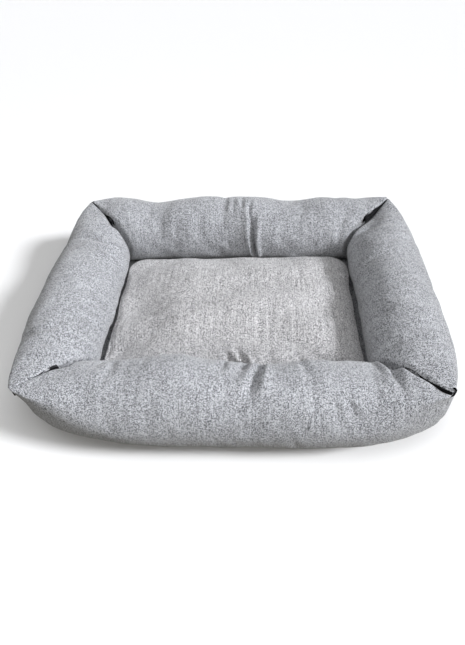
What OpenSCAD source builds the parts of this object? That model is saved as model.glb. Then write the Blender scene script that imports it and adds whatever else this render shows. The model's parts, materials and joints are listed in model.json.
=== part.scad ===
// Rectangular pet bed. Four stuffed bolsters stand round a loose cushion on a thin base,
// and press studs on webbing tabs hold their mitred ends together at the corners.
// Undone, each bolster rolls outwards until it lies flat beside the base.
// Millimetres, +Z up, origin on the floor under the middle of the bed, front at -Y.

/* [Bolster frame] */
// Distance between the centrelines of the side bolsters
frame_w = 700; // [600:10:900]
// Distance between the centrelines of the front and back bolsters
frame_d = 530; // [450:10:750]
// Width of a bolster at its middle
bolster_w = 160; // [140:2:180]
// Height of a bolster at its middle
bolster_h = 146; // [130:2:170]
// How late a bolster starts to taper towards its ends
taper_power = 4.5; // [3:0.5:7]
// Distance from a mitre's plane to each bolster end beside it
mitre_gap = 3.4; // [3.2:0.1:4.5]
// Thickness of the bolster and cushion covers
cover_t = 2; // [1.5:0.1:3]

/* [Bolster ends] */
// How far the ear's tip stands out from the corner of the centrelines, along X and along Y
ear_out = 26; // [16:1:34]
// How far the end stands out below the ear
end_out = 21; // [8:1:24]
// Width of the tapered end, without its ear
end_w = 101; // [84:1:110]
// How far the ear's tip is lower than the middle's top
ear_drop = 4.5; // [3:0.5:10]
// How far the end's top is lower than the middle's, inside the ear
end_drop = 11; // [6:1:14]
// How much further the end's top sinks on its inner side
end_sink = 10; // [0:1:14]

/* [Base] */
// How far the base reaches past the bolster centrelines
base_out = 20; // [10:1:30]
// Radius of the base's corners
base_r = 140; // [120:5:160]
// Thickness of the cloth under the base and of its lining
base_cloth_t = 1.5; // [1:0.1:2]
// Thickness of the wadding between them
base_wadding_t = 3; // [2:0.5:4]

/* [Cushion] */
// Gap between the cushion and the bolsters at their widest
cushion_gap = 3; // [2:0.5:10]
// Radius of the cushion's corners
cushion_r = 48; // [36:1:80]
// Height of the cushion's middle above the base
cushion_h = 78; // [65:1:80]

/* [Corner tabs and press studs] */
// Width of the webbing of a tab
tab_w = 18; // [16:0.5:20]
// Thickness of the webbing
tab_t = 1.2; // [0.8:0.1:1.4]
// Outer diameter of a press stud
stud_d = 15; // [12:0.5:15]

/* [Zip] */
// Length of the zip's tapes
zip_l = 330; // [200:10:380]
// Width of one tape
tape_w = 10; // [8:0.5:11]

/* [Hidden] */

CLOTH = "#aeb1b6";
FILLING = "#f2f2ee";
BLACK = "#1d1d1f";

half_w = frame_w / 2;
half_d = frame_d / 2;

// ---- Bolsters ----
base_t = 2 * base_cloth_t + base_wadding_t;
bolster_z0 = base_t + 0.5;
mid_z = bolster_z0 + bolster_h / 2;
// The end's section is an ellipse that leans in from the ear.
end_c = end_out - end_w / 2;
end_top = bolster_z0 + bolster_h - end_drop;
end_bottom = bolster_z0 + 2.5;
end_z = (end_top + end_bottom) / 2;
end_h = end_top - end_bottom;
ear_z = bolster_z0 + bolster_h - ear_drop;
ear_angle = 45;
section_steps = 24;
span_steps = 12;
filling_gap = 0.5;

function signed_pow(v, e) = sign(v) * pow(abs(v), e);

// Section at a bolster's middle: [distance out from the centreline, height].
function mid_section(a) =
    [bolster_w / 2 * signed_pow(cos(a), 0.92), mid_z + bolster_h / 2 * signed_pow(sin(a), 0.92)];

// Section at a bolster's end: an ellipse, with its outer top drawn out to the ear.
function end_section(a) =
    a > 90 ?
        let (sunk = a < 180 ? end_sink * sin(2 * (a - 90)) : 0)
        [end_c + end_w / 2 * cos(a), end_z + end_h / 2 * sin(a) - sunk] :
    a > ear_angle ?
        let (f = (a - ear_angle) / (90 - ear_angle))
        [ear_out + (end_c - ear_out) * f, ear_z + (end_top - ear_z) * sin(90 * f)] :
        let (f = a / ear_angle)
        [end_out + (ear_out - end_out) * pow(f, 2.2), end_z + (ear_z - end_z) * f];

// A point p drawn in towards c by a distance.
function drawn_in(p, c, inset) = c + (p - c) * (1 - inset / norm(p - c));

// A point on the skin: t runs from -1 to 1 along the bolster, a round it.
function skin_point(half_l, centre, t, a, inset) =
    let (
        w = pow(abs(t), taper_power),
        c = [end_c * w, mid_z + (end_z - mid_z) * w],
        p = drawn_in(mid_section(a) * (1 - w) + end_section(a) * w, c, inset),
        reach = half_l + drawn_in(end_section(a), [end_c, end_z], inset)[0]
            - mitre_gap * sqrt(2) - inset * 1.5
    )
    [t * reach, -(centre + p[0]), p[1]];

// Two triangles for each cell of a grid whose rows close on themselves.
function tube_faces(rows, n) = [
    for (j = [0 : rows - 2], i = [0 : n - 1])
        let (a = j * n + i, b = j * n + (i + 1) % n)
        each [[a, a + n, b], [b, a + n, b + n]]
];
function fan_faces(start, n, apex, flip) = [
    for (i = [0 : n - 1])
        let (a = start + i, b = start + (i + 1) % n)
        flip ? [a, apex, b] : [a, b, apex]
];

// A bolster lying along X at the front, drawn in by inset all over.
module bolster_solid(half_l, centre, inset = 0) {
    n = section_steps;
    rows = span_steps + 1;
    // stations lie closer together towards the ends, where the shape changes
    skin = [
        for (j = [0 : rows - 1], i = [0 : n - 1])
            skin_point(half_l, centre, sin(-90 + 180 * j / span_steps), 360 * (n - i) / n, inset)
    ];
    // the middle of each end, in the plane of its mitre
    reach = half_l + end_c - mitre_gap * sqrt(2) - inset * 1.5;
    ends = [for (side = [-1, 1]) [side * reach, -(centre + end_c), end_z]];
    polyhedron(
        points = concat(skin, ends),
        faces = concat(
            tube_faces(rows, n),
            fan_faces(0, n, rows * n, false),
            fan_faces((rows - 1) * n, n, rows * n + 1, true)
        )
    );
}

module bolster_cover(half_l, centre) {
    color(CLOTH) difference() {
        bolster_solid(half_l, centre);
        bolster_solid(half_l, centre, cover_t);
    }
}

module bolster_filling(half_l, centre) {
    color(FILLING) bolster_solid(half_l, centre, cover_t + filling_gap);
}

// ---- Base ----
module rounded_rectangle(w, d, r) {
    square([w - 2 * r, d], center = true);
    square([w, d - 2 * r], center = true);
    for (x = [-1, 1], y = [-1, 1])
        translate([x * (w / 2 - r), y * (d / 2 - r)]) circle(r = r, $fn = 96);
}

module base_layer(z, t, inset = 0) {
    out = 2 * (base_out - inset);
    translate([0, 0, z]) linear_extrude(t)
        rounded_rectangle(frame_w + out, frame_d + out, base_r - inset);
}

module base_underside() color("#3b3d40") base_layer(0, base_cloth_t);
module base_wadding() color(FILLING) base_layer(base_cloth_t, base_wadding_t, 4);
module base_lining() color(CLOTH) base_layer(base_cloth_t + base_wadding_t, base_cloth_t);

// ---- Corners ----
// Each corner's own frame: +X outwards along the mitre, +Y across it towards the front or back
// bolster, which carries the socket. The side bolster carries the stud.
hold_z = end_top - 12;
hold_s = -45;
tip_s = (ear_out - 12) * sqrt(2);
tip_z = ear_z - tab_w / 2 - 3.5;
tab_angle = atan2(tip_z - hold_z, tip_s - hold_s);
tab_l = norm([tip_s - hold_s, tip_z - hold_z]);
tab_face = mitre_gap - tab_t;
rivet_r = 2;
rivet_clearance = 0.1;
socket_t = 2.6;
stud_t = 2 * tab_face - socket_t - 0.4;
cone_h = 2;
cone_r1 = 5.4;
cone_r2 = 1.5;

module at_corner(side_x, side_y) {
    mirror([side_x > 0 ? 1 : 0, 0, 0]) mirror([0, side_y > 0 ? 1 : 0, 0])
        translate([-half_w, -half_d, 0]) rotate([0, 0, 225]) children();
}

// The press stud's own frame on a tab: +Z out of the tab's face, towards the mitre's plane.
module at_hold(face_y) {
    translate([hold_s, face_y, hold_z]) rotate([face_y > 0 ? 90 : -90, 0, 0]) children();
}

// A strip of webbing from the ear's tip in along the mitre, with the rivet's hole near its end.
module corner_tab(side) {
    y0 = side > 0 ? tab_face : -mitre_gap;
    color(BLACK) difference() {
        translate([hold_s, y0 + tab_t, hold_z]) rotate([90, 0, 0]) rotate([0, 0, tab_angle]) {
            translate([0, -tab_w / 2, 0]) cube([tab_l, tab_w, tab_t]);
            cylinder(d = tab_w, h = tab_t, $fn = 48);
            translate([tab_l, 0, 0]) cylinder(d = tab_w, h = tab_t, $fn = 48);
        }
        translate([hold_s, y0 - 1, hold_z]) rotate([-90, 0, 0])
            cylinder(r = rivet_r, h = tab_t + 2, $fn = 32);
    }
}

module rivet() {
    translate([0, 0, -tab_t]) cylinder(r = rivet_r - rivet_clearance, h = tab_t, $fn = 32);
}

// The half with the hollow. Its hollow is wide and shallow, so the cone leaves it at a slant.
module socket() {
    color(BLACK) at_hold(tab_face) {
        rivet();
        difference() {
            cylinder(d = stud_d, h = socket_t, $fn = 64);
            translate([0, 0, socket_t - 2.1]) cylinder(r1 = cone_r2 + 0.4, r2 = cone_r1 + 0.4, h = 2.1, $fn = 48);
        }
    }
}

module stud() {
    color(BLACK) at_hold(-tab_face) {
        rivet();
        cylinder(d = stud_d, h = stud_t, $fn = 64);
        translate([0, 0, stud_t]) cylinder(r1 = cone_r1, r2 = cone_r2, h = cone_h, $fn = 48);
    }
}

// ---- Cushion ----
cushion_a = half_w - bolster_w / 2 - cushion_gap;
cushion_b = half_d - bolster_w / 2 - cushion_gap;
cushion_z0 = base_t + 0.3;
bevel_in = 34;
bevel_z = cushion_z0 + 34;
corner_steps = 6;

// The edge's profile, bottom to top: [how far in from the widest line, height].
cushion_profile = [
    [bevel_in, cushion_z0],
    [0, bevel_z],
    for (a = [18 : 18 : 72]) [20 * (1 - cos(a)), bevel_z + 24 * sin(a)],
    for (f = [0.2 : 0.2 : 1])
        [20 + 135 * f, cushion_z0 + 58 + (cushion_h - 58) * sin(90 * f)]
];

function cushion_ring(inset, z) =
    let (r = max(cushion_r - inset, 14))
    [
        for (k = [0 : 3], i = [0 : corner_steps])
            let (
                a = 90 * k + 90 * i / corner_steps,
                sx = (k == 0 || k == 3) ? 1 : -1,
                sy = k < 2 ? 1 : -1
            )
            [sx * (cushion_a - inset - r) + r * cos(a), sy * (cushion_b - inset - r) + r * sin(a), z]
    ];

module cushion_solid(inset = 0) {
    n = 4 * (corner_steps + 1);
    rings = len(cushion_profile);
    levels = [
        for (p = cushion_profile)
            [p[0] + inset, p[1] + inset * (p[1] < bevel_z ? 1 : p[1] > bevel_z + 10 ? -1 : 0)]
    ];
    polyhedron(
        points = concat(
            [for (v = levels, q = cushion_ring(v[0], v[1])) q],
            [[0, 0, levels[0][1]], [0, 0, levels[rings - 1][1] + 0.5]]
        ),
        faces = concat(
            tube_faces(rings, n),
            fan_faces(0, n, rings * n, false),
            fan_faces((rings - 1) * n, n, rings * n + 1, true)
        )
    );
}

// ---- Cushion zip, on the slanting lower part of the cushion's back edge ----
// Its own frame: +X along the zip, +Z out of the cloth.
slant = atan2(bevel_z - cushion_z0, bevel_in);
coil_w = 2.3;
coil_gap = 1.4;
tape_t = 0.8;
slot_l = zip_l - 10;
slot_w = 13;
slider_l = 11;
slider_w = 9;
slider_x = zip_l / 2 - 15;
plate_t = 1.2;
plate_gap = 0.3;
coil_low = -0.7;
coil_high = 1.5;
lug_z = coil_high + plate_gap + plate_t + 2.2;
pin_r = 0.9;
pull_l = 14;

module at_zip() {
    translate([0, cushion_b - bevel_in / 2, (cushion_z0 + bevel_z) / 2])
        rotate([slant - 180, 0, 0]) children();
}

module zip_slot(depth) {
    at_zip() translate([-slot_l / 2, -slot_w / 2, -depth]) cube([slot_l, slot_w, depth + 2]);
}

module cushion_cover() {
    color(CLOTH) difference() {
        cushion_solid();
        cushion_solid(cover_t);
        zip_slot(cover_t + 3);
    }
}

module cushion_filling() {
    color(FILLING) difference() {
        cushion_solid(cover_t + filling_gap);
        zip_slot(6);
    }
}

// One tape with its row of coil. side is +1 or -1 across the zip.
module zip_tape(side) {
    inner = coil_gap / 2;
    color(BLACK) at_zip() mirror([0, side > 0 ? 0 : 1, 0]) {
        translate([-zip_l / 2, inner + coil_w, 0.05]) cube([zip_l, tape_w, tape_t]);
        translate([-slot_l / 2 + 0.5, inner, coil_low])
            cube([slot_l - 1, coil_w, coil_high - coil_low]);
    }
}

// Two plates joined by the post that runs between the coils, with lugs and a pin for the pull.
module cushion_zip_slider() {
    color("#55585c") at_zip() translate([slider_x, 0, 0]) {
        for (z = [coil_low - plate_gap - plate_t, coil_high + plate_gap])
            translate([-slider_l / 2, -slider_w / 2, z]) cube([slider_l, slider_w, plate_t]);
        translate([slider_l / 2 - 4, -(coil_gap / 2 - 0.2), coil_low - plate_gap - 0.1])
            cube([3.5, coil_gap - 0.4, coil_high - coil_low + 2 * plate_gap + 0.2]);
        for (side = [-1, 1])
            translate([-1.3, side * 3.2 - 0.7, coil_high + plate_gap + plate_t - 0.1])
                cube([2.6, 1.4, lug_z - coil_high - plate_gap - plate_t + 1.3]);
        translate([0, 3.2, lug_z]) rotate([90, 0, 0]) cylinder(r = pin_r, h = 6.4, $fn = 32);
    }
}

// A flat pull that hangs from the slider's pin by its eye, with a wider finger end.
module cushion_zip_pull() {
    eye_r = pin_r + 0.1;
    color("#55585c") at_zip() translate([slider_x, 0, lug_z]) difference() {
        union() {
            translate([0, 2, 0]) rotate([90, 0, 0]) cylinder(r = 1.9, h = 4, $fn = 32);
            translate([-0.6, -2, 0]) cube([1.2, 4, pull_l - 4]);
            translate([-0.6, -3, pull_l - 8]) cube([1.2, 6, 8]);
        }
        translate([0, 3, 0]) rotate([90, 0, 0]) cylinder(r = eye_r, h = 6, $fn = 32);
    }
}

// ---- Nodes ----
sides = [
    ["front", 0, half_w, half_d], ["back", 180, half_w, half_d],
    ["left", -90, half_d, half_w], ["right", 90, half_d, half_w]
];
corners = [
    ["front_left", -1, -1], ["front_right", 1, -1], ["back_left", -1, 1], ["back_right", 1, 1]
];

base_underside();
base_wadding();
base_lining();
for (s = sides) {
    rotate([0, 0, s[1]]) bolster_cover(s[2], s[3]);
    rotate([0, 0, s[1]]) bolster_filling(s[2], s[3]);
}
for (c = corners) {
    at_corner(c[1], c[2]) corner_tab(1);
    at_corner(c[1], c[2]) corner_tab(-1);
    at_corner(c[1], c[2]) socket();
    at_corner(c[1], c[2]) stud();
}
cushion_cover();
cushion_filling();
zip_tape(-1);  // cushion_zip_upper_tape
zip_tape(1);  // cushion_zip_lower_tape
cushion_zip_slider();
cushion_zip_pull();
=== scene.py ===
from collections import namedtuple
import json
import math

import bpy
import numpy as np
from mathutils import Matrix, Vector
from mathutils.kdtree import KDTree


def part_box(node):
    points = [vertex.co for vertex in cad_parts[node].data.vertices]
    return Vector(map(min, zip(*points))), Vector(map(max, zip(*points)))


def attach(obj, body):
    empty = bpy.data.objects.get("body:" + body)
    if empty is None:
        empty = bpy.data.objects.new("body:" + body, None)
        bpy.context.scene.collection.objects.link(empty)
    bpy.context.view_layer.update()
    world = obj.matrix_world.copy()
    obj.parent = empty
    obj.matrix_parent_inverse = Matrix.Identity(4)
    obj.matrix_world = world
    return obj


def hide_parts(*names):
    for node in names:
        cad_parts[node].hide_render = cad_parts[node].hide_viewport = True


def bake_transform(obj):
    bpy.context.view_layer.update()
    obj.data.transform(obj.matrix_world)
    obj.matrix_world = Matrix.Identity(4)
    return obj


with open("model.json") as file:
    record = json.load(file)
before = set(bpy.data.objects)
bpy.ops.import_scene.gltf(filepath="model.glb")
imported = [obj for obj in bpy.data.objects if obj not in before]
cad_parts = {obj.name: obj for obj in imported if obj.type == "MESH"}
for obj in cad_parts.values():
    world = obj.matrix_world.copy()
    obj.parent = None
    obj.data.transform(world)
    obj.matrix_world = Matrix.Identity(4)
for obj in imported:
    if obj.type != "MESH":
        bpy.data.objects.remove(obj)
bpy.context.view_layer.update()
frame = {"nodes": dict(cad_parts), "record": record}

MM = 0.001
TAU = 2 * math.pi

# ---- Sizes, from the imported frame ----
front_lo, front_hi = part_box("front_bolster_cover")
left_lo, left_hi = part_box("left_bolster_cover")
BOLSTER_W = front_hi.y - front_lo.y
BOLSTER_H = front_hi.z - front_lo.z
# from the bed's middle to that of the front and back bolsters, and to that of the side ones
HALF_D = -(front_lo.y + front_hi.y) / 2
HALF_W = -(left_lo.x + left_hi.x) / 2
Z0 = front_lo.z
MID_Z = Z0 + BOLSTER_H / 2

# ---- Camera, as fitted to the bed's corners in the photo ----
scene = bpy.context.scene
cam_data = bpy.data.cameras.new("camera")
cam = bpy.data.objects.new("camera", cam_data)
scene.collection.objects.link(cam)
scene.camera = cam
CAM_AT = (0.0613, -0.7210, 0.7883)
CAM_PITCH, CAM_YAW, CAM_ROLL = 47.33, 5.30, -3.83
CAM_LENS = 25.5013953
cam_data.sensor_fit = "VERTICAL"
cam_data.sensor_height = 36.0
cam_data.lens = CAM_LENS
cam_data.clip_start = 0.01
cam.location = CAM_AT
cam.rotation_mode = "QUATERNION"


def look_rotation(pitch, yaw, roll):
    """The camera's rotation: down by pitch, to the left by yaw, then rolled, in degrees."""
    p, y, r = (math.radians(v) for v in (pitch, yaw, roll))
    ahead = np.array([-math.sin(y) * math.cos(p), math.cos(y) * math.cos(p), -math.sin(p)])
    right = np.array([math.cos(y), math.sin(y), 0.0])
    up = np.cross(right, ahead)
    right2 = right * math.cos(r) + up * math.sin(r)
    up2 = -right * math.sin(r) + up * math.cos(r)
    return Matrix([[right2[i], up2[i], -ahead[i]] for i in range(3)]).to_quaternion()


cam.rotation_quaternion = look_rotation(CAM_PITCH, CAM_YAW, CAM_ROLL)

# ---- Mesh tools ----


def make_object(name, verts, faces, uvs):
    """A smooth-shaded mesh object, with the points' uvs in a layer named cloth."""
    mesh = bpy.data.meshes.new(name)
    mesh.from_pydata([tuple(v) for v in verts], [], [tuple(int(i) for i in f) for f in faces])
    mesh.update()
    mesh.polygons.foreach_set("use_smooth", [True] * len(mesh.polygons))
    layer = mesh.uv_layers.new(name="cloth")
    loops = np.zeros(len(mesh.loops), int)
    mesh.loops.foreach_get("vertex_index", loops)
    layer.data.foreach_set("uv", np.asarray(uvs)[loops].ravel())
    obj = bpy.data.objects.new(name, mesh)
    scene.collection.objects.link(obj)
    return obj


def tube_quads(rows, n):
    """Quads between rows of n points each, closed round the row."""
    j, i = np.meshgrid(np.arange(rows - 1), np.arange(n), indexing="ij")
    a = (j * n + i).ravel()
    b = (j * n + (i + 1) % n).ravel()
    return np.stack([a, b, b + n, a + n], 1)


def closed_tube(rows, n):
    """The faces of a tube, closed by one face at each end."""
    first, last = list(range(n)), list(range((rows - 1) * n, rows * n))
    return [*tube_quads(rows, n), first[::-1], last]


def get_points(obj):
    co = np.empty(len(obj.data.vertices) * 3)
    obj.data.vertices.foreach_get("co", co)
    return co.reshape(-1, 3)


def set_points(obj, co):
    obj.data.vertices.foreach_set("co", np.asarray(co, float).ravel())
    obj.data.update()


def smoothstep(x, lo, hi):
    t = np.clip((x - lo) / (hi - lo), 0, 1)
    return t * t * (3 - 2 * t)


def lumps(seed, n_waves, lo, hi, dims):
    """A smooth random field: a sum of sines with wavelengths from lo to hi."""
    rng = np.random.default_rng(seed)
    waves = []
    for _ in range(n_waves):
        d = rng.normal(size=dims)
        d /= np.linalg.norm(d)
        waves.append((d * TAU / rng.uniform(lo, hi), rng.uniform(0, TAU), rng.uniform(0.5, 1)))
    total = math.sqrt(sum(w[2] ** 2 for w in waves) / 2)

    def field(p):
        return sum(w[2] * np.sin(p @ w[0] + w[1]) for w in waves) / total
    return field


# ---- Bolsters ----
# A section is given by out (away from the bed's middle) and height, and its points by the angle
# round it: 0 outside, 90 top, 180 inside. END_ and EAR_ sizes are those of the mitred ends.
END_OUT, END_W, EAR_OUT = 21 * MM, 101 * MM, 26 * MM
EAR_DROP, END_DROP, END_SINK = 4.5 * MM, 11 * MM, 10 * MM
END_C = END_OUT - END_W / 2
END_TOP = Z0 + BOLSTER_H - END_DROP
END_BOTTOM = Z0 + 2.5 * MM
END_Z = (END_TOP + END_BOTTOM) / 2
END_H = END_TOP - END_BOTTOM
EAR_Z = Z0 + BOLSTER_H - EAR_DROP
EAR_ANGLE = 45.0
N_ROUND = 104
ROUNDNESS = 0.92        # below 1 the section is squarer than an ellipse
ON_BASE = 0.3 * MM      # from the base's top to a bolster's lowest points
UNDER_SAG = 5 * MM      # how far the section would go below the base's top, if it weren't flat
END_SHARE = 4.5         # the higher, the shorter the part of a bolster that is like its ends
RIM_GAP = 1.7 * MM      # from each end to the plane of its mitre
ROOT2 = math.sqrt(2)


def signed_pow(v, e):
    return np.sign(v) * np.abs(v) ** e


def mid_section(a):
    """The section in the middle of a bolster, flattened where it stands on the base."""
    c, s = np.cos(np.radians(a)), np.sin(np.radians(a))
    out = BOLSTER_W / 2 * signed_pow(c, ROUNDNESS)
    up = MID_Z + BOLSTER_H / 2 * signed_pow(s, ROUNDNESS)
    down = MID_Z + (BOLSTER_H / 2 + UNDER_SAG) * signed_pow(s, ROUNDNESS)
    return np.stack([out, np.maximum(np.where(s < 0, down, up), Z0 + ON_BASE)], -1)


def end_section(a):
    """The section at a bolster's end, drawn out to the ear."""
    c, s = np.cos(np.radians(a)), np.sin(np.radians(a))
    p = np.stack([END_C + END_W / 2 * c, END_Z + END_H / 2 * s], -1)
    inner = (a > 90) & (a < 180)
    p[..., 1] -= np.where(inner, END_SINK * np.sin(2 * np.radians(a - 90)), 0)
    top = (a > EAR_ANGLE) & (a <= 90)
    f = (a - EAR_ANGLE) / (90 - EAR_ANGLE)
    ear = np.stack([
        EAR_OUT + (END_C - EAR_OUT) * f, EAR_Z + (END_TOP - EAR_Z) * np.sin(np.pi / 2 * f)], -1)
    p = np.where(top[..., None], ear, p)
    side = (a >= 0) & (a <= EAR_ANGLE)
    f = a / EAR_ANGLE
    out = np.stack([
        END_OUT + (EAR_OUT - END_OUT) * np.clip(f, 0, 1) ** 2.2, END_Z + (EAR_Z - END_Z) * f], -1)
    return np.where(side[..., None], out, p)


def ear_weight(a, width=26.0):
    """1 at the ear's corner, falling to 0 round it."""
    d = (a - EAR_ANGLE + 180) % 360 - 180
    return np.exp(-(d / width) ** 2)


def grid_smooth(field, times):
    """Evens out a field on the bolster's grid: rows run along it, columns close round it."""
    for _ in range(times):
        side = (np.roll(field, 1, 1) + np.roll(field, -1, 1)) / 2
        ends = field.copy()
        ends[1:-1] = (field[2:] + field[:-2]) / 2
        field = (field * 2 + side + ends) / 4
    return field


def place(verts, turn):
    """From a bolster's own frame, lying along X at the front, to its side of the bed."""
    ca, sa = math.cos(math.radians(turn)), math.sin(math.radians(turn))
    x, y, z = np.asarray(verts, float).reshape(-1, 3).T
    return np.stack([x * ca - y * sa, x * sa + y * ca, z], 1)


CAP_RINGS = (0.93, 0.8, 0.62, 0.42, 0.22)


def build_bolster(name, half_l, centre, turn, length_rows, seed, sags, nips, swell):
    """The stuffed cover, closed by its end caps. Returns it with what the later passes need."""
    n = N_ROUND
    s = np.linspace(-1, 1, length_rows)
    t = 0.5 * s + 0.5 * np.sin(np.pi / 2 * s)
    ang = 360.0 * np.arange(n) / n
    T, A = np.meshgrid(t, ang, indexing="ij")
    w = np.abs(T) ** END_SHARE
    c = np.stack([END_C * w, MID_Z + (END_Z - MID_Z) * w], -1)
    mid, end = mid_section(A), end_section(A)
    # the outside of an end can be fuller, below the ear
    below = (A + 180) % 360 - 180
    full = np.clip(np.cos(np.radians(below)), 0, 1) * smoothstep(EAR_ANGLE - below, 0, 35)
    end[..., 0] += np.where(T > 0, swell[1], swell[0]) * MM * full
    p = mid * (1 - w[..., None]) + end * w[..., None]
    reach = half_l + end[..., 0] - RIM_GAP * ROOT2
    # the rim of each end is rounded, except at the ear
    r = (9 - 6 * ear_weight(A)) * MM
    away = reach * (1 - np.abs(T))
    e = np.clip(away, 0, r)
    inset = r - np.sqrt(np.maximum(r ** 2 - (r - e) ** 2, 0))
    rel = p - c
    dist = np.linalg.norm(rel, axis=-1)
    p = c + rel * ((dist - inset) / dist)[..., None]
    x = T * reach
    girth = np.cumsum(np.r_[0, np.linalg.norm(np.diff(mid[0], axis=0), axis=1)])
    # the top sinks here and there between the ears: (x, depth, half width)
    height = (p[..., 1] - MID_Z) / (BOLSTER_H / 2)
    inner_top = smoothstep(height, 0.0, 1.0) * (1 - 0.25 * smoothstep(p[..., 0], 0, 60 * MM))
    for x0, depth, wide in sags:
        p[..., 1] -= depth * MM * inner_top * np.exp(-((x - x0 * MM) / (wide * MM)) ** 2)
    # slack places at the ends: (end, distance out, half width, sink, pull back, reach)
    top = smoothstep(height, 0.15, 0.85)
    for side, p0, wide, sink, back, far in nips:
        near = top * np.exp(-((p[..., 0] - p0 * MM) / (wide * MM)) ** 2)
        near = near * np.exp(-(away / (far * MM)) ** 2) * (T * side > 0)
        p[..., 1] -= sink * MM * near
        x = x - side * back * MM * near
    lump = lumps(seed, 12, 110 * MM, 300 * MM, 3)
    q = np.stack([x, p[..., 0], p[..., 1]], -1)
    fine = lumps(seed + 50, 22, 26 * MM, 70 * MM, 3)
    free = 1 - np.abs(T) ** 10
    up = smoothstep(p[..., 1], Z0 + 4 * MM, Z0 + 40 * MM)
    outer = smoothstep(p[..., 0], 10 * MM, 60 * MM)
    # shallow folds run round the bolster, where its cloth is slack lengthwise
    fold = lumps(seed + 90, 16, 30 * MM, 90 * MM, 1)
    patch = lumps(seed + 70, 8, 90 * MM, 200 * MM, 3)
    folds = fold((x + 10 * MM * lump(q))[..., None]) * np.clip(0.8 * patch(q) - 0.2, 0, 1.2)
    push = (2.6 * lump(q) + 0.6 * fine(q) + 0.3 * folds) * MM * free * up * (1 - 0.55 * outer)
    unit = rel / dist[..., None]
    p = p + unit * push[..., None]
    p[..., 1] = np.maximum(p[..., 1], Z0 + ON_BASE)
    verts = [np.stack([x, -(centre + p[..., 0]), p[..., 1]], -1).reshape(-1, 3)]
    v = np.broadcast_to(girth[None, :], T.shape)
    uvs = [np.stack([x, v], -1).reshape(-1, 2)]
    faces = [tube_quads(length_rows, n)[:, ::-1]]
    base = length_rows * n
    # end caps, in the planes of the mitres, hollowed where the press studs are
    for side, row in ((-1, 0), (1, length_rows - 1)):
        rim = p[row]
        shift = x[row] - side * (half_l + rim[:, 0] - RIM_GAP * ROOT2)
        cc = np.array([END_C, END_Z])
        prev = row * n
        for f in CAP_RINGS:
            ring = cc + (rim - cc) * f
            off_out, off_up = (ring[:, 0] - HOLD[0]) / (15 * MM), (ring[:, 1] - HOLD[1]) / (14 * MM)
            near = np.exp(-(off_out ** 2 + off_up ** 2) ** 2)
            gap = RIM_GAP + (2.2 * near - 0.1) * MM
            xx = side * (half_l + ring[:, 0] - gap * ROOT2) + shift * f ** 3
            verts.append(np.stack([xx, -(centre + ring[:, 0]), ring[:, 1]], -1))
            uvs.append(np.stack([ring[:, 0], ring[:, 1]], -1))
            a = np.arange(n)
            b = (a + 1) % n
            quad = np.stack([prev + a, prev + b, base + b, base + a], 1)
            faces.append(quad if side < 0 else quad[:, ::-1])
            prev = base
            base += n
        verts.append(np.array([[side * (half_l + END_C - RIM_GAP * ROOT2), -(centre + END_C), END_Z]]))
        uvs.append(np.array([[END_C, END_Z]]))
        fan = np.stack([prev + np.arange(n), prev + (np.arange(n) + 1) % n, np.full(n, base)], 1)
        faces.append(fan if side < 0 else fan[:, ::-1])
        base += 1
    faces = [f for block in faces for f in block]
    obj = make_object(name, place(np.concatenate(verts), turn), faces, np.concatenate(uvs))
    # how firmly each point is held while the cloth settles: the ends and the underside stay
    hold = np.ones(len(obj.data.vertices))
    rim_hold = 1 - smoothstep(away, 5 * MM, 34 * MM)
    low_hold = 1 - smoothstep(p[..., 1], Z0 + 6 * MM, Z0 + 30 * MM)
    hold[:length_rows * n] = np.maximum(rim_hold, low_hold).ravel()
    return obj, {"x": x, "A": A, "unit": unit, "hold": hold, "turn": turn, "shape": (length_rows, n)}


MEAN_RADIUS = 75 * MM   # turns an angle round a bolster into a way along its cloth


def add_creases(obj, made, creases):
    """Presses the creases in, along the section's own normal. A crease runs in the plane of
    (length, angle round) from one point to the other: (x, angle, x, angle, depth, width)."""
    x, A = made["x"], made["A"]
    push = np.zeros_like(x)
    per_deg = TAU * MEAN_RADIUS / 360
    for x0, a0, x1, a1, depth, width in creases:
        ax, ay = x0 * MM, a0 * per_deg
        bx, by = x1 * MM, a1 * per_deg
        length = math.hypot(bx - ax, by - ay)
        ux, uy = (bx - ax) / length, (by - ay) / length
        along = (x - ax) * ux + (A * per_deg - ay) * uy
        across = (x - ax) * -uy + (A * per_deg - ay) * ux
        f = along / length
        # it bends a little, widens on its way and fades out over its second half
        across = across - 0.036 * length * np.sin(np.clip(f, 0, 1) * np.pi * 1.3)
        fade = smoothstep(f, -0.06, 0.12) * (1 - smoothstep(f, 0.45, 1.1))
        wd = width * MM * (0.6 + 0.7 * np.clip(f, 0, 1))
        push -= depth * MM * fade * np.exp(-(across / wd) ** 2)
        # the cloth stands up on both sides of it
        for off in (2.2 * wd, -2.2 * wd):
            push += 0.32 * depth * MM * fade * np.exp(-((across - off) / (1.3 * wd)) ** 2)
    move = made["unit"] * push[..., None]
    flat = np.stack([np.zeros_like(x), -move[..., 0], move[..., 1]], -1).reshape(-1, 3)
    co = get_points(obj)
    co[:len(flat)] += place(flat, made["turn"])
    co[:, 2] = np.maximum(co[:, 2], Z0 + ON_BASE)
    set_points(obj, co)


# The press stud's place in the end's section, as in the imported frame.
stud_lo, stud_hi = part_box("front_left_stud")
stud_out = (-(stud_lo.x + stud_hi.x) / 2 - HALF_W - (stud_lo.y + stud_hi.y) / 2 - HALF_D) / 2
HOLD = (stud_out, (stud_lo.z + stud_hi.z) / 2)

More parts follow.
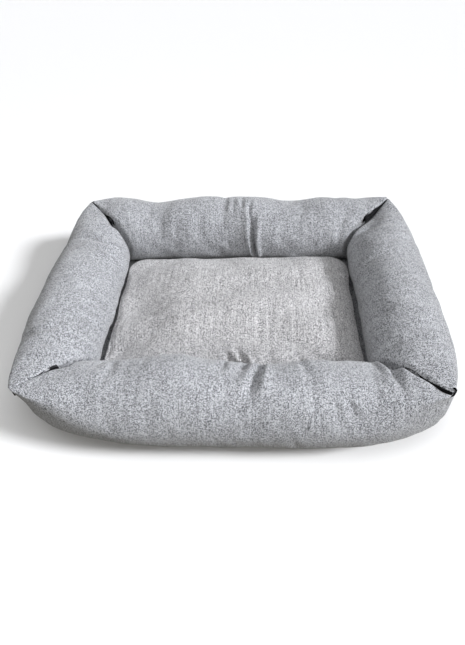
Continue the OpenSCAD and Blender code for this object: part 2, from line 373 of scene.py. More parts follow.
# half_l: half the length between the middles of its neighbours; centre: how far its own middle
# is from the bed's; turn: degrees from the front; rows: of points along it; creases, sags and
# nips: as add_creases and build_bolster take them; swell: how much fuller its two ends are, in mm.
Bolster = namedtuple("Bolster", "half_l centre turn rows seed creases sags nips swell")
BOLSTERS = {
    "front": Bolster(HALF_W, HALF_D, 0, 240, 11, [
        (64, 132, 36, 60, 15, 7), (34, 142, 26, 104, 7, 5), (-6, 138, -12, 100, 5, 6),
        (276, 142, 302, 60, 15, 6), (296, 118, 302, 92, 8, 5), (205, 66, 214, 30, 5, 8),
        (-215, 130, -200, 80, 3, 9), (-120, 60, -150, 20, 3, 12), (130, 126, 150, 74, 4, 9),
        (180, 60, 200, 15, 3, 10), (60, 40, 20, 5, 3, 12)],
        [(-215, 8, 60), (30, 9, 60), (150, 6, 110), (250, 10, 60), (-100, -5, 55)],
        [(-1, -38, 14, 10, 5, 15), (1, 15, 13, 6, 2, 16)], (-2, 7)),
    "back": Bolster(HALF_W, HALF_D, 180, 240, 23, [
        (-50, 206, -38, 112, 24, 5.5), (-38, 136, -32, 84, 7, 4), (-18, 104, -12, 62, 3, 5),
        (8, 112, 0, 60, 3, 6), (95, 160, 80, 80, 2, 16), (-150, 160, -160, 80, 2.5, 14),
        (190, 150, 170, 60, 2, 16), (-250, 175, -262, 90, 3, 9)],
        [(213, 13, 42), (-151, 11, 60), (32, 5, 14), (312, -8, 42), (90, -3, 40)],
        [], (0, 0)),
    "left": Bolster(HALF_D, HALF_W, -90, 160, 37, [
        (98, 184, 104, 118, 9, 6), (-130, 150, -150, 56, 6, 8), (-100, 160, -122, 96, 5, 6),
        (190, 120, 178, 56, 5, 8), (150, 100, 162, 46, 4, 8), (20, 150, 40, 70, 3, 12)],
        [(-120, 5, 60), (60, 4, 60)],
        [(-1, -36, 15, 11, 7, 17)], (0, -2)),
    "right": Bolster(HALF_D, HALF_W, 90, 160, 41, [
        (180, 140, 190, 60, 5, 8), (-60, 120, -80, 60, 4, 12), (60, 150, 70, 80, 4, 10),
        (-170, 130, -180, 60, 4, 9), (120, 90, 130, 30, 3, 10)],
        [(40, 4, 90)],
        [(1, -24, 36, 20, 3, 60)], (7, 0)),
}

cloth, made = {}, {}
for side, b in BOLSTERS.items():
    cloth[side], made[side] = build_bolster(
        f"{side}_bolster", b.half_l, b.centre, b.turn, b.rows, b.seed, b.sags, b.nips, b.swell)

# ---- Cushion ----
cush_lo, cush_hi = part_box("cushion_cover")
CUSH_A, CUSH_B = cush_hi.x, cush_hi.y
CUSH_Z0, CUSH_TOP = cush_lo.z, cush_hi.z


def rounded_outline(a, b, r, step):
    """Points evenly spaced round a rectangle with rounded corners, anticlockwise from +X, about
    step mm apart, and the outward direction at each."""
    straight_y, straight_x, arc = 2 * (b - r), 2 * (a - r), math.pi * r / 2
    total = 2 * (straight_x + straight_y) + 4 * arc
    n = int(round(total / (step * MM) / 4)) * 4
    # each side: its length, first point, direction, and the middle of the corner that ends it
    sides = (
        (straight_y, (a, -(b - r)), (0, 1), (a - r, b - r)),
        (straight_x, (a - r, b), (-1, 0), (-(a - r), b - r)),
        (straight_y, (-a, b - r), (0, -1), (-(a - r), -(b - r))),
        (straight_x, (-(a - r), -b), (1, 0), (a - r, -(b - r))),
    )
    pts, normals = [], []
    for k in range(n):
        d = total * k / n
        # start in the middle of the +X side
        d = (d + straight_y / 2) % total
        for quarter, (run, (px, py), (wx, wy), (cx, cy)) in enumerate(sides):
            if d < run:
                gone = run * (d / run)
                pts.append((px + wx * gone, py + wy * gone))
                normals.append((wy, -wx))
                break
            d -= run
            if d < arc:
                ang = math.pi / 2 * quarter + d / r
                pts.append((cx + r * math.cos(ang), cy + r * math.sin(ang)))
                normals.append((math.cos(ang), math.sin(ang)))
                break
            d -= arc
    return np.array(pts), np.array(normals)


CUSH_EDGE_Z = CUSH_Z0 + 36 * MM     # height of the cushion's widest line
CUSH_SHOULDER = 64 * MM             # height of the shoulder above the underside
CUSH_CORNER = 44 * MM
CUSH_STEP = 3.8                     # between points round the outline, in mm
CUSH_MORE_X, CUSH_MORE_Y, CUSH_MORE_Z = 5 * MM, 4 * MM, 4 * MM  # larger than the CAD cushion
UNDER_ROWS, SIDE_ROWS, TOP_ROWS = 18, 15, 68
LOW_IN, TOP_IN = 34 * MM, 20 * MM   # how far the flat underside and the top are inside the outline
ZIP_IN, ZIP_UP = 17 * MM, 34 * MM / 2   # the zip's middle, from the back edge and the underside
ZIP_SLANT = math.radians(45)
PUCKERS = [
    # x, depth, width, slant, reach, in mm from the middle of the front edge
    (18, 20, 4.5, -0.65, 46), (41, 18, 4.5, -0.6, 42), (-14, 6, 7, -0.4, 34), (147, 10, 5, -0.3, 30),
    (84, 4, 9, -0.2, 34), (-120, 4, 9, 0.1, 30), (196, 4, 9, 0.0, 30), (-60, 4, 8, 0.1, 26),
]


def build_cushion():
    """The cushion's cover: rows of points from the middle of its underside to that of its top."""
    outline, normal = rounded_outline(
        CUSH_A + CUSH_MORE_X, CUSH_B + CUSH_MORE_Y, CUSH_CORNER, CUSH_STEP)
    n = len(outline)
    lump = lumps(5, 12, 80 * MM, 220 * MM, 2)
    fine = lumps(6, 26, 16 * MM, 46 * MM, 2)
    edge_lump = lumps(9, 10, 60 * MM, 160 * MM, 2)
    # each row: its points in plan and their heights
    rows = []
    for f in np.linspace(0.06, 1, UNDER_ROWS)[:-1]:
        rows.append(((outline - normal * LOW_IN) * f, np.full(n, CUSH_Z0)))
    for q in np.linspace(0, 1, SIDE_ROWS)[:-1]:
        ang = q * math.pi / 2
        ins = LOW_IN * (1 - math.sin(ang) ** 1.5)
        z = CUSH_EDGE_Z - (CUSH_EDGE_Z - CUSH_Z0) * math.cos(ang) ** 1.5
        rows.append((outline - normal * ins, np.full(n, z)))
    rise = CUSH_TOP + CUSH_MORE_Z - CUSH_EDGE_Z
    for q in np.linspace(0, 1, TOP_ROWS):
        # steps are short near the edge, where the top turns down
        f = q ** 1.9
        pts = (outline - normal * min(TOP_IN, 60 * MM * f)) * (1 - f * 0.985)
        rows.append((pts, np.full(n, CUSH_EDGE_Z + rise * (1 - (1 - f) ** 2.3) ** 0.72)))
    verts, uvs = [], []
    for pts, zz in rows:
        top = smoothstep(zz, CUSH_Z0 + 26 * MM, CUSH_Z0 + CUSH_SHOULDER - 6 * MM)
        bulge = 1.5 * edge_lump(outline) * MM * (1 - top) * (zz > CUSH_Z0 + 1 * MM)
        pts = pts + normal * bulge[:, None]
        zz = zz + top * (2.2 * lump(pts) + 0.55 * fine(pts)) * MM
        # it lies a little higher to the right, and slopes away to the left and to the front left
        x, y = pts.T
        front_left = 0.35 + 0.65 * smoothstep(-x, -60 * MM, 90 * MM)
        front_left = smoothstep(-y, 50 * MM, 170 * MM) * front_left
        right, left = smoothstep(x, 60 * MM, 230 * MM), smoothstep(-x, 90 * MM, 250 * MM)
        zz = zz + top * (5 * right - 13 * left - 11 * front_left) * MM
        # puckers where the front bolster presses on the cushion's edge
        for x0, depth, width, slant, reach in PUCKERS:
            dy = pts[:, 1] + CUSH_B
            fade = np.exp(-(np.maximum(dy - 8 * MM, 0) / (reach * 0.62 * MM)) ** 2)
            across = pts[:, 0] - x0 * MM - slant * dy
            wd = width * MM * (0.8 + 0.8 * np.clip(dy / (60 * MM), 0, 1))
            zz = zz - top * depth * MM * fade * np.exp(-(across / wd) ** 2)
            lip = np.exp(-((across - 2.1 * wd) / (1.2 * wd)) ** 2)
            zz = zz + top * 0.4 * depth * MM * fade * lip
        # the zip holds the cloth flat low down along the back edge
        mid = np.array([CUSH_B - ZIP_IN, CUSH_Z0 + ZIP_UP])
        out = np.array([math.sin(ZIP_SLANT), -math.cos(ZIP_SLANT)])
        rel = np.column_stack([pts[:, 1], zz]) - mid
        high = rel @ out
        across = rel @ np.array([out[1], -out[0]])
        near = 1 - smoothstep(np.abs(across), 13 * MM, 22 * MM)
        near = near * (1 - smoothstep(np.abs(pts[:, 0]), 168 * MM, 185 * MM))
        down = np.maximum(high + 0.4 * MM, 0) * near
        pts = pts - np.column_stack([np.zeros(n), down * out[0]])
        zz = zz - down * out[1]
        verts.append(np.column_stack([pts, np.maximum(zz, CUSH_Z0)]))
        uvs.append(pts.copy())
    # the uv of the sides runs down from the shoulder, so the weave isn't squashed there
    verts = np.concatenate(verts)
    flat = np.concatenate(uvs)
    normals = np.tile(normal, (len(rows), 1))
    drop = np.maximum(CUSH_Z0 + CUSH_SHOULDER - verts[:, 2], 0)
    flat = flat + normals * drop[:, None]
    return make_object("cushion", verts, closed_tube(len(rows), n), flat)


cloth["cushion"] = build_cushion()

# ---- The covers settle under a light inner pressure ----
SETTLE_FRAMES = 20
HOLD_LEVELS = 20        # steps of the weights in the vertex group
FURTHEST = 5 * MM       # no point moves further
# inner pressure, and how much larger the cloth is than the shape, as a share
BOLSTER_PUSH, CUSHION_PUSH = (2.5, 0.004), (3.0, 0.006)
TWIN_CELL = 6 * MM
TWIN_NEAR = 8           # points of the copy that move a point of the piece


def settle(jobs):
    """Simulates the jobs' cloth together and yields each object with how far its points move.
    Each job is (object, hold, pressure, extra cloth). hold is 1 where a point stays."""
    scene.frame_start, scene.frame_end = 1, SETTLE_FRAMES
    for obj, hold, pressure, extra in jobs:
        group = obj.vertex_groups.new(name="held")
        levels = np.round(hold * HOLD_LEVELS) / HOLD_LEVELS
        for level in np.unique(levels):
            group.add(np.nonzero(levels == level)[0].tolist(), float(level), "REPLACE")
        mod = obj.modifiers.new("settle", "CLOTH")
        mod.point_cache.frame_start, mod.point_cache.frame_end = 1, SETTLE_FRAMES
        cs = mod.settings
        cs.quality = 4
        cs.mass = 0.2
        cs.tension_stiffness = cs.compression_stiffness = 14
        cs.shear_stiffness = 4
        cs.bending_stiffness = 0.6
        cs.use_pressure = True
        cs.uniform_pressure_force = pressure
        cs.shrink_min = -extra
        cs.vertex_group_mass = group.name
        cs.effector_weights.gravity = 0
        mod.collision_settings.use_collision = False
    for f in range(1, SETTLE_FRAMES + 1):
        scene.frame_set(f)
    graph = bpy.context.evaluated_depsgraph_get()
    moved = []
    for obj, *_ in jobs:
        done = obj.evaluated_get(graph)
        after = np.empty(len(obj.data.vertices) * 3)
        done.data.vertices.foreach_get("co", after)
        moved.append(after.reshape(-1, 3) - get_points(obj))
    for (obj, hold, *_), move in zip(jobs, moved):
        obj.modifiers.remove(obj.modifiers["settle"])
        obj.vertex_groups.clear()
        far = np.linalg.norm(move, axis=1)
        move *= (FURTHEST * np.tanh(far / FURTHEST) / np.maximum(far, 1e-9) * (1 - hold))[:, None]
        yield obj, move
    scene.frame_set(1)


def even_copy(obj):
    """A copy of the piece with cells of one size, to simulate in its place."""
    twin = obj.copy()
    twin.data = obj.data.copy()
    scene.collection.objects.link(twin)
    twin.data.remesh_voxel_size = TWIN_CELL
    bpy.context.view_layer.objects.active = twin
    with bpy.context.temp_override(object=twin, active_object=twin, selected_objects=[twin]):
        bpy.ops.object.voxel_remesh()
    return twin


def carry_over(obj, twin, move):
    """Moves each point of the piece as its near points on the copy moved."""
    near = KDTree(len(twin.data.vertices))
    for i, v in enumerate(twin.data.vertices):
        near.insert(v.co, i)
    near.balance()
    co = get_points(obj)
    for i, p in enumerate(co.copy()):
        found = near.find_n(p, TWIN_NEAR)
        weight = np.array([1 / (d + 1.5 * MM) for _, _, d in found])
        co[i] += weight @ move[[k for _, k, _ in found]] / weight.sum()
    set_points(obj, co)


jobs = [(cloth[k], made[k]["hold"], *BOLSTER_PUSH) for k in BOLSTERS]
twin = even_copy(cloth["cushion"])
at = get_points(twin)
low = 1 - smoothstep(at[:, 2], CUSH_Z0 + 6 * MM, CUSH_Z0 + 30 * MM)
by_zip = smoothstep(at[:, 1], CUSH_B - 60 * MM, CUSH_B - 40 * MM)
by_zip = by_zip * (1 - smoothstep(at[:, 2], CUSH_Z0 + 44 * MM, CUSH_Z0 + 60 * MM))
jobs.append((twin, np.maximum(low, by_zip), *CUSHION_PUSH))
for obj, move in settle(jobs):
    if obj is twin:
        carry_over(cloth["cushion"], twin, move)
        continue
    rows, n = made[obj.name.split("_")[0]]["shape"]
    skin = grid_smooth(move[:rows * n].reshape(rows, n, 3), 2)
    co = get_points(obj)
    co[:rows * n] += skin.reshape(-1, 3)
    set_points(obj, co)
bpy.data.objects.remove(twin)
for side, b in BOLSTERS.items():
    add_creases(cloth[side], made[side], b.creases)

# ---- Corner tabs: two strips of webbing in each mitre ----
TAB_WIDE, TAB_HALF_THICK = 17 * MM, 0.6 * MM
TAB_IN = -54 * MM       # where a tab starts, inside the mitre
TAB_ROUND = 28
CURL_R = 4.5 * MM


def at_corner(corner, s, t, z):
    """A point in a corner's own frame: s outwards along the mitre, t across it towards the front
    or back."""
    front_back, left_right = corner.split("_")
    sx, sy = (1 if left_right == "right" else -1), (1 if front_back == "back" else -1)
    k = math.sqrt(0.5)
    return np.stack([sx * (HALF_W + (s - t) * k), sy * (HALF_D + (s + t) * k), z], -1)


def end_top_line(s):
    """Height of the end's top edge at s."""
    a = np.linspace(EAR_ANGLE, 175, 200)
    sec = end_section(a)
    order = np.argsort(sec[:, 0])
    return np.interp(s * math.sqrt(0.5), sec[order, 0], sec[order, 1])


def build_tab(name, corner, side, rise, out, curl=0.0):
    """A strip of webbing. side is +1 for the front or back bolster's strip."""
    s = np.arange(TAB_IN, out + 0.1 * MM, 1.5 * MM)
    # the two strips lie together near the ear, and apart where the press stud is between them
    t = side * (0.75 + 2.05 * (1 - smoothstep(s, -35 * MM, -17 * MM))) * MM
    top = end_top_line(s) - 4.5 * MM + (rise + 1.3 * MM) * smoothstep(s, -12 * MM, 12 * MM)
    width = np.full(len(s), TAB_WIDE)
    if curl:
        # past the ear the strip turns back on itself
        ang = np.radians(np.arange(10, curl, 10))
        s = np.r_[s, out + CURL_R * np.sin(ang)]
        t = np.r_[t, t[-1] - CURL_R * (1 - np.cos(ang))]
        top = np.r_[top, np.full(len(ang), top[-1])]
        width = np.full(len(s), TAB_WIDE)
        lift = smoothstep(np.arange(len(s)), len(s) - len(ang) - 12, len(s) - 8)
        top += 5 * MM * lift
        width -= 7 * MM * lift
    ds, dt = np.gradient(s), np.gradient(t)
    length = np.hypot(ds, dt)
    ns, nt = -dt / length, ds / length
    # section: a thin rounded strip, soft at its selvedges
    k = TAB_ROUND
    ang = TAU * np.arange(k) / k
    thick = TAB_HALF_THICK * signed_pow(np.cos(ang), 0.5)
    high = 0.5 * signed_pow(np.sin(ang), 0.8)
    rows = len(s)
    S = s[:, None] + ns[:, None] * thick
    T = t[:, None] + nt[:, None] * thick
    Z = (top - width / 2)[:, None] + high * width[:, None]
    verts = at_corner(corner, S.ravel(), T.ravel(), Z.ravel())
    run = np.cumsum(np.r_[0, length[1:]])
    uvs = np.stack([np.repeat(run, k), (high * width[:, None]).ravel()], -1)
    return make_object(name, verts, closed_tube(rows, k), uvs)


TABS = {
    # corner: rise near the ear, how far out the tabs reach, curl of the side bolster's tab
    "front_left": (-2 * MM, 33 * MM, 0), "front_right": (1.2 * MM, 31 * MM, 230),
    "back_left": (3 * MM, 36 * MM, 0), "back_right": (-1.5 * MM, 36 * MM, 0),
}
tabs = {}
for corner, (rise, out, curl) in TABS.items():
    tabs[f"{corner}_socket_tab"] = build_tab(
        f"{corner}_socket_webbing", corner, 1, rise, min(out, 35 * MM))
    tabs[f"{corner}_stud_tab"] = build_tab(f"{corner}_stud_webbing", corner, -1, rise, out, curl)

# ---- Base: a thin quilted pad, with a grippy cloth under it ----
_, base_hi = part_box("base_lining")
under_lo, under_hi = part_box("base_underside")
BASE_A, BASE_B = base_hi.x, base_hi.y
BASE_R = 140 * MM
BASE_STEP = 8.0         # between points round the outline, in mm
QUILT = 92 * MM         # from channel to channel


def build_pad(name, z0, z1, inset, quilt, rings):
    """A flat pad with a rounded edge, built of rings. quilt is the spacing of its channels, or 0."""
    outline, normal = rounded_outline(BASE_A - inset, BASE_B - inset, BASE_R - inset, BASE_STEP)
    n = len(outline)
    edge = min((z1 - z0) / 2, 2.2 * MM)
    rows = []
    for f in np.linspace(0, 1, rings):
        rows.append((outline * (1 - 0.99 * (1 - f)) - normal * edge * f, np.full(n, z0)))
    for ang in np.linspace(0, math.pi, 7)[1:-1]:
        z = (z0 + z1) / 2 - (z1 - z0) / 2 * math.cos(ang)
        rows.append((outline - normal * edge * (1 - math.sin(ang)), np.full(n, z)))
    for f in np.linspace(0, 1, rings):
        rows.append((outline * (1 - 0.99 * f) - normal * edge * (1 - f), np.full(n, z1)))
    verts = []
    for pts, z in rows:
        if quilt:
            # channels run from front to back
            near = np.abs((pts[:, 0] / quilt + 0.5) % 1 - 0.5) * quilt
            z = z - 1.1 * MM * np.exp(-(near / (6 * MM)) ** 2) * (z > (z0 + z1) / 2)
        verts.append(np.column_stack([pts, z]))
    verts = np.concatenate(verts)
    caps = [list(range(n)), list(range((len(rows) - 1) * n, len(rows) * n))[::-1]]
    obj = make_object(name, verts, [*tube_quads(len(rows), n)[:, ::-1], *caps], verts[:, :2].copy())
    obj.data.flip_normals()
    return obj


base_pad = build_pad("base_pad", under_hi.z, base_hi.z, 0.0, QUILT, 34)
base_under = build_pad("base_under", under_lo.z, under_hi.z, 0.6 * MM, 0, 10)

# ---- Joining flaps: each bolster is sewn to the base by a folded strip ----
# the strip's way in section, in mm: out from the bolster's middle, and height
FLAP_PATH = [
    (17, 3.6), (24, 2.6), (31, 1.5), (37, 1.3), (40.5, 1.9), (40.5, 3.1), (37, 3.7), (32, 4.0),
    (29.5, 4.9), (30.5, 6.0), (35, 7.0), (40, 9.2), (44, 12.5),
]
FLAP_SHORT = 120 * MM   # the strip is this much shorter than the bolster at each end
FLAP_IN = 17 * MM
FLAP_LOW = 6 * MM
FLAP_BASE_SEAM, FLAP_BOLSTER_SEAM = (26 * MM, 3.6 * MM), (44 * MM, 12.5 * MM)


def build_flap(name, centre, half, turn):
    """A strip of cloth from the base's edge, folded under the bolster, to a seam on its
    underside. Returns it with its flat width and its area."""
    path = np.array(FLAP_PATH) * MM
    seg = np.linalg.norm(np.diff(path, axis=0), axis=1)
    run = np.r_[0, np.cumsum(seg)]
    fine = np.linspace(0, run[-1], 34)
    mid = np.stack([np.interp(fine, run, path[:, 0]), np.interp(fine, run, path[:, 1])], -1)
    for _ in range(2):
        mid[1:-1] = (mid[:-2] + 2 * mid[1:-1] + mid[2:]) / 4
    tangent = np.gradient(mid, axis=0)
    tangent /= np.linalg.norm(tangent, axis=1)[:, None]
    side = np.stack([-tangent[:, 1], tangent[:, 0]], -1) * 0.35 * MM
    loop = np.concatenate([mid + side, (mid - side)[::-1]])
    xs = np.linspace(-half, half, int(half * 2 / (5 * MM)))
    n = len(loop)
    verts, uvs, area = [], [], 0.0
    around = np.r_[fine, fine[::-1]]
    for x in xs:
        # at its ends the strip runs in under the bolster
        k = smoothstep(half - abs(x), 0, 80 * MM)
        out = FLAP_IN + (loop[:, 0] - FLAP_IN) * (0.55 + 0.45 * k)
        raised = FLAP_LOW + (loop[:, 1] - FLAP_LOW) * (0.15 + 0.85 * k)
        z = np.where(loop[:, 1] > FLAP_LOW, raised, loop[:, 1])
        verts.append(np.column_stack([np.full(n, x), -(centre + out), np.maximum(z, 0.4 * MM)]))
        uvs.append(np.column_stack([np.full(n, x), around]))
        area += np.hypot(np.diff(out), np.diff(z)).sum() / 2 * (xs[1] - xs[0])
    verts, uvs = np.concatenate(verts), np.concatenate(uvs)
    return make_object(name, place(verts, turn), closed_tube(len(xs), n), uvs), run[-1], area


flaps = {}
for side, b in BOLSTERS.items():
    half = b.half_l - FLAP_SHORT
    flaps[side] = half, *build_flap(f"{side}_flap", b.centre, half, b.turn)

# ---- Materials ----


class Nodes:
    """A material's node tree, with short ways to add nodes to it. A value given to an input is
    a constant or the output of another node."""

    def __init__(self, name):
        self.mat = bpy.data.materials.new(name)
        self.mat.use_nodes = True
        self.tree = self.mat.node_tree
        self.shader = self.tree.nodes["Principled BSDF"]

    def put(self, socket, value):
        if isinstance(value, bpy.types.NodeSocket):
            self.tree.links.new(value, socket)
        else:
            socket.default_value = value

    def add(self, kind, **inputs):
        node = self.tree.nodes.new(kind)
        for key, value in inputs.items():
            self.put(node.inputs[key], value)
        return node

    def cloth_uv(self):
        node = self.add("ShaderNodeUVMap")
        node.uv_map = "cloth"
        return node.outputs[0]

    def math(self, op, a, b=0.0, c=0.0):
        node = self.add("ShaderNodeMath")
        node.operation = op
        for socket, value in zip(node.inputs, (a, b, c)):
            self.put(socket, value)
        return node.outputs[0]

    def mix(self, f, a, b, blend="MIX"):
        node = self.add("ShaderNodeMix")
        node.data_type = "RGBA"
        node.blend_type = blend
        for i, v in ((0, f), (6, a), (7, b)):
            self.put(node.inputs[i], (*v, 1.0) if isinstance(v, tuple) else v)
        return node.outputs[2]

    def ramp(self, value, *stops):
        node = self.add("ShaderNodeValToRGB", Fac=value)
        els = node.color_ramp.elements
        while len(els) < len(stops):
            els.new(0.5)
        for el, (pos, col) in zip(els, stops):
            el.position = pos
            el.color = (*col, 1.0) if isinstance(col, tuple) else (col, col, col, 1.0)
        return node.outputs[0]

    def scaled(self, vector, scale):
        return self.add("ShaderNodeMapping", Vector=vector, Scale=scale).outputs[0]

    def noise(self, vector, scale, detail=2.0, rough=0.5):
        node = self.add(
            "ShaderNodeTexNoise", Vector=vector, Scale=scale, Detail=detail, Roughness=rough)
        return node.outputs[0]

    def bump(self, height, strength, distance, normal=None):
        node = self.add("ShaderNodeBump", Height=height, Strength=strength, Distance=distance)
        if normal is not None:
            self.put(node.inputs["Normal"], normal)
        return node.outputs[0]

    def surface(self, **inputs):
        """Sets inputs of the shader; an underscore in a name stands for a space."""
        for key, value in inputs.items():
            self.put(self.shader.inputs[key.replace("_", " ")], value)
        return self.mat


YARN = 1000.0 / 1.5     # yarns per metre of cloth


def melange(name, dark, light, contrast, streak):
    """A coarse plain weave of flecked yarn. UVs are in metres; warp runs along V, weft along U."""
    m = Nodes(name)
    uv = m.cloth_uv()
    # a slight wander keeps the yarns from being ruled lines
    wander = m.add("ShaderNodeTexNoise", Vector=uv, Scale=45.0, Detail=2.0)
    off = m.add("ShaderNodeVectorMath")
    off.operation = "MULTIPLY_ADD"
    for socket, value in zip(off.inputs, (wander.outputs["Color"], (0.0022, 0.0022, 0.0), uv)):
        m.put(socket, value)
    at = off.outputs[0]
    sep = m.add("ShaderNodeSeparateXYZ", Vector=at)
    u, v = sep.outputs[0], sep.outputs[1]
    su = m.math("SINE", m.math("MULTIPLY", u, math.pi * YARN))
    sv = m.math("SINE", m.math("MULTIPLY", v, math.pi * YARN))
    over = m.math("MULTIPLY_ADD", m.math("MULTIPLY", su, sv), 0.5, 0.5)
    # flecks of each yarn, long along it and narrow across
    weft = m.noise(m.scaled(at, (480.0, YARN * 1.15, 1.0)), 1.0, 2.0, 0.6)
    warp = m.noise(m.scaled(at, (YARN * 1.15, 450.0, 1.0)), 1.0, 2.0, 0.6)
    choose = m.ramp(over, (0.42, 0.0), (0.58, 1.0))
    tone = m.mix(choose, weft, warp)
    tone = m.math("MULTIPLY_ADD", m.math("SUBTRACT", tone, 0.5), 1.2, 0.5)
    # thick flecks, where light and dark fibres gather
    cells = m.add("ShaderNodeTexVoronoi", Vector=m.scaled(at, (960.0, 1150.0, 1.0)), Scale=1.0)
    fleck = m.add("ShaderNodeSeparateColor", Color=cells.outputs["Color"]).outputs[0]
    tone = m.math("MULTIPLY_ADD", m.math("SUBTRACT", fleck, 0.5), contrast, tone)
    # slubs and broad streaks across the cloth
    streaks = m.noise(m.scaled(uv, (420.0, 7.0, 1.0)), 1.0, 2.0, 0.6)
    broad = m.noise(m.scaled(uv, (9.0, 9.0, 1.0)), 1.0, 3.0, 0.55)
    tone = m.math("MULTIPLY_ADD", m.math("SUBTRACT", streaks, 0.5), streak, tone)
    tone = m.math("MULTIPLY_ADD", m.math("SUBTRACT", broad, 0.5), 0.3, tone)
    middle = tuple((d + l) / 2 for d, l in zip(dark, light))
    colour = m.ramp(tone, (0.12, dark), (0.5, middle), (0.86, light))
    # gaps between yarns are darker
    gap = m.math("MULTIPLY", m.math("ABSOLUTE", su), m.math("ABSOLUTE", sv))
    shade = m.ramp(gap, (0.0, 0.72), (0.35, 1.0))
    height = m.math("MULTIPLY_ADD", gap, 0.7, m.math("MULTIPLY", tone, 0.5))
    creped = m.bump(m.noise(m.scaled(uv, (60.0, 60.0, 1.0)), 1.0, 3.0, 0.6), 0.35, 0.0022)
    return m.surface(
        Base_Color=m.mix(1.0, colour, shade, "MULTIPLY"), Roughness=0.93, Specular_IOR_Level=0.18,
        Sheen_Weight=0.28, Sheen_Roughness=0.55, Normal=m.bump(height, 0.55, 0.0006, creped))


def plain(name, colour, rough, bump_scale, bump_depth, spec, vary=0.25, metallic=0.0):
    """One colour with a slight grain."""
    m = Nodes(name)
    tex = m.add("ShaderNodeTexCoord").outputs["Object"]
    n = m.noise(tex, bump_scale * 0.2, 4.0, 0.6)
    low = tuple(c * (1 - vary) for c in colour)
    high = tuple(min(1, c * (1 + vary)) for c in colour)
    grain = m.noise(tex, bump_scale, 3.0, 0.6)
    return m.surface(
        Base_Color=m.ramp(n, (0.3, low), (0.7, high)), Roughness=rough, Specular_IOR_Level=spec,
        Metallic=metallic, Normal=m.bump(grain, 0.4, bump_depth))


def ribbed(name, colour, along, across, depth):
    """A narrow woven tape: ribs across its length, with fine yarns between."""
    m = Nodes(name)
    uv = m.cloth_uv()
    sep = m.add("ShaderNodeSeparateXYZ", Vector=uv)
    rib = m.math("SINE", m.math("MULTIPLY", sep.outputs[0], TAU / along))
    yarn = m.math("SINE", m.math("MULTIPLY", sep.outputs[1], TAU / across))
    height = m.math("MULTIPLY_ADD", m.math("MULTIPLY", rib, yarn), 0.5, m.math("MULTIPLY", rib, 0.4))
    fuzz = m.noise(m.scaled(uv, (900.0, 900.0, 1.0)), 1.0, 3.0, 0.6)
    tone = m.math("MULTIPLY_ADD", height, 0.22, fuzz)
    low, high = tuple(c * 0.55 for c in colour), tuple(c * 1.7 for c in colour)
    return m.surface(
        Base_Color=m.ramp(tone, (0.25, low), (0.8, high)), Roughness=0.82,
        Specular_IOR_Level=0.15, Normal=m.bump(height, 0.6, depth))


def dotted(name, ground, dots, pitch):
    """Cloth with rows of small rubbery dots."""
    m = Nodes(name)
    uv = m.cloth_uv()
    voronoi = m.add("ShaderNodeTexVoronoi", Vector=uv, Scale=1 / pitch, Randomness=0.0)
    dot = m.ramp(voronoi.outputs["Distance"], (0.24, 1.0), (0.30, 0.0))
    fuzz = m.noise(m.scaled(uv, (700.0, 700.0, 1.0)), 1.0, 3.0, 0.6)
    low, high = tuple(c * 0.7 for c in ground), tuple(c * 1.4 for c in ground)
    height = m.math("MULTIPLY_ADD", fuzz, 0.2, dot)
    return m.surface(
        Base_Color=m.mix(dot, m.ramp(fuzz, (0.3, low), (0.7, high)), dots),
        Roughness=m.math("MULTIPLY_ADD", dot, -0.35, 0.9), Specular_IOR_Level=0.3,
        Normal=m.bump(height, 0.7, 0.0006))


BOLSTER_CLOTH = melange("bolster_cloth", (0.045, 0.047, 0.053), (0.60, 0.614, 0.648), 1.15, 0.6)
CUSHION_CLOTH = melange("cushion_cloth", (0.052, 0.051, 0.055), (0.735, 0.73, 0.742), 1.2, 0.9)
WEBBING = ribbed("webbing", (0.007, 0.007, 0.008), 1.9 * MM, 0.9 * MM, 0.0004)
STUD = plain("press_stud", (0.016, 0.016, 0.018), 0.42, 300.0, 0.0001, 0.5)
METAL = plain("zip_metal", (0.10, 0.10, 0.11), 0.38, 300.0, 0.00005, 0.5, 0.2, 1.0)
UNDER = dotted("under_cloth", (0.035, 0.036, 0.04), (0.012, 0.012, 0.013), 6 * MM)
TAPE = plain("zip_tape", (0.02, 0.02, 0.022), 0.85, 900.0, 0.0003, 0.25)

for key in BOLSTERS:
    cloth[key].data.materials.append(BOLSTER_CLOTH)
    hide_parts(f"{key}_bolster_cover", f"{key}_bolster_filling")
    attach(cloth[key], f"{key}_bolster")
cloth["cushion"].data.materials.append(CUSHION_CLOTH)
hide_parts("cushion_cover", "cushion_filling")
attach(cloth["cushion"], "cushion")

for node_name, obj in tabs.items():
    obj.data.materials.append(WEBBING)
    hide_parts(node_name)
    front_back, left_right, kind, _ = node_name.split("_")
    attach(obj, f"{front_back if kind == 'socket' else left_right}_bolster")

base_pad.data.materials.append(BOLSTER_CLOTH)
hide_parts("base_lining", "base_wadding")
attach(base_pad, "base")
base_under.data.materials.append(UNDER)
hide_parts("base_underside")
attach(base_under, "base")
for side, (half, obj, run, area) in flaps.items():
    centre, turn = BOLSTERS[side].centre, BOLSTERS[side].turn
    obj.data.materials.append(BOLSTER_CLOTH)
    seams = [(0, -(centre + out), z) for out, z in (FLAP_BASE_SEAM, FLAP_BOLSTER_SEAM)]
    start, end = place(seams, turn)
    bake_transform(obj)
    min(area, 2 * half * run)

# the CAD nodes that still show: press studs, and the zip with its tapes
SLOT_MATERIALS = {"press_stud": STUD, "zip_metal": METAL, "webbing": TAPE}
slots = {s["node"]: s["material_slot"] for s in frame["record"]["subparts"]}
for node_name, node_obj in frame["nodes"].items():
    if node_obj.hide_render:
        continue
    node_obj.data.materials.clear()
    node_obj.data.materials.append(SLOT_MATERIALS[slots[node_name]])

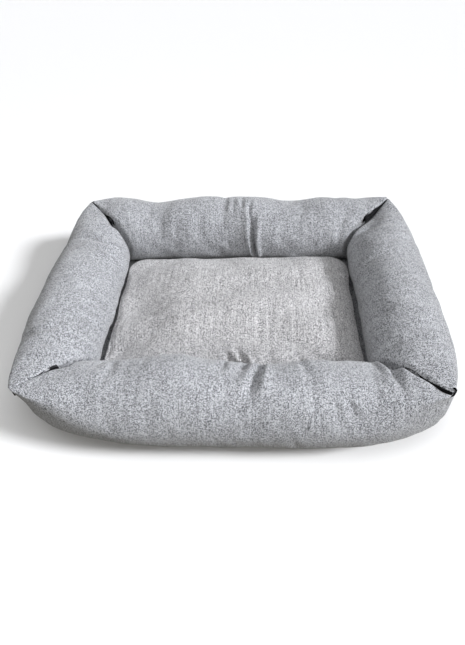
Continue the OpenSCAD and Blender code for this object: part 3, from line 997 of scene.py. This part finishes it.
# ---- Stage ----
bpy.ops.mesh.primitive_plane_add(size=14, location=(0, 0, 0))
floor = bpy.context.object
floor.name = "floor"
fm = Nodes("floor")
# it throws less light back up than it shows, so that undersides keep their shade
FLOOR_BOUNCE, FLOOR_SEEN = (0.235, 0.22, 0.19), (0.88, 0.88, 0.88)
seen = fm.add("ShaderNodeLightPath").outputs["Is Camera Ray"]
floor.data.materials.append(fm.surface(
    Base_Color=fm.mix(seen, FLOOR_BOUNCE, FLOOR_SEEN), Roughness=0.9, Specular_IOR_Level=0.1))

world = bpy.data.worlds.new("world")
scene.world = world
world.use_nodes = True
air, link = world.node_tree.nodes, world.node_tree.links.new
sky = air["Background"]
sky.inputs["Color"].default_value = (1.02, 1.0, 0.96, 1)
sky.inputs["Strength"].default_value = 0.16
# behind everything it is plain white
white = air.new("ShaderNodeBackground")
white.inputs["Color"].default_value = (1.0, 1.0, 1.0, 1)
part = air.new("ShaderNodeMixShader")
link(air.new("ShaderNodeLightPath").outputs["Is Camera Ray"], part.inputs[0])
link(sky.outputs[0], part.inputs[1])
link(white.outputs[0], part.inputs[2])
link(part.outputs[0], air["World Output"].inputs["Surface"])


def sun(name, azimuth, elevation, strength, angle, colour):
    """A sun in the direction azimuth (from +X towards +Y) and elevation, in degrees. angle is
    how wide it is."""
    a, e = math.radians(azimuth), math.radians(elevation)
    data = bpy.data.lights.new(name, "SUN")
    data.energy = strength
    data.angle = math.radians(angle)
    data.color = colour
    obj = bpy.data.objects.new(name, data)
    scene.collection.objects.link(obj)
    to = Vector((math.cos(e) * math.cos(a), math.cos(e) * math.sin(a), math.sin(e)))
    obj.rotation_euler = (-to).to_track_quat("-Z", "Y").to_euler()


def lamp(name, at, aim, size, power):
    """A square lamp at one point, aimed at another."""
    data = bpy.data.lights.new(name, "AREA")
    data.energy = power
    data.size = size
    obj = bpy.data.objects.new(name, data)
    scene.collection.objects.link(obj)
    obj.location = at
    obj.rotation_euler = (Vector(aim) - Vector(at)).to_track_quat("-Z", "Y").to_euler()
    obj.visible_camera = False


# strengths of the suns are in W per square metre, that of the lamp is in W
sun("key", -9, 33, 3.75, 12, (0.98, 0.992, 1.02))
sun("sky", 90, 74, 0.7, 80, (0.97, 0.99, 1.03))
sun("fill", -62, 34, 0.65, 35, (1.0, 0.985, 0.95))
lamp("top", (0.05, -0.40, 0.90), (0, 0.27, 0.08), 0.5, 2.8)

scene.view_settings.view_transform = "Standard"
scene.view_settings.exposure = 0.0
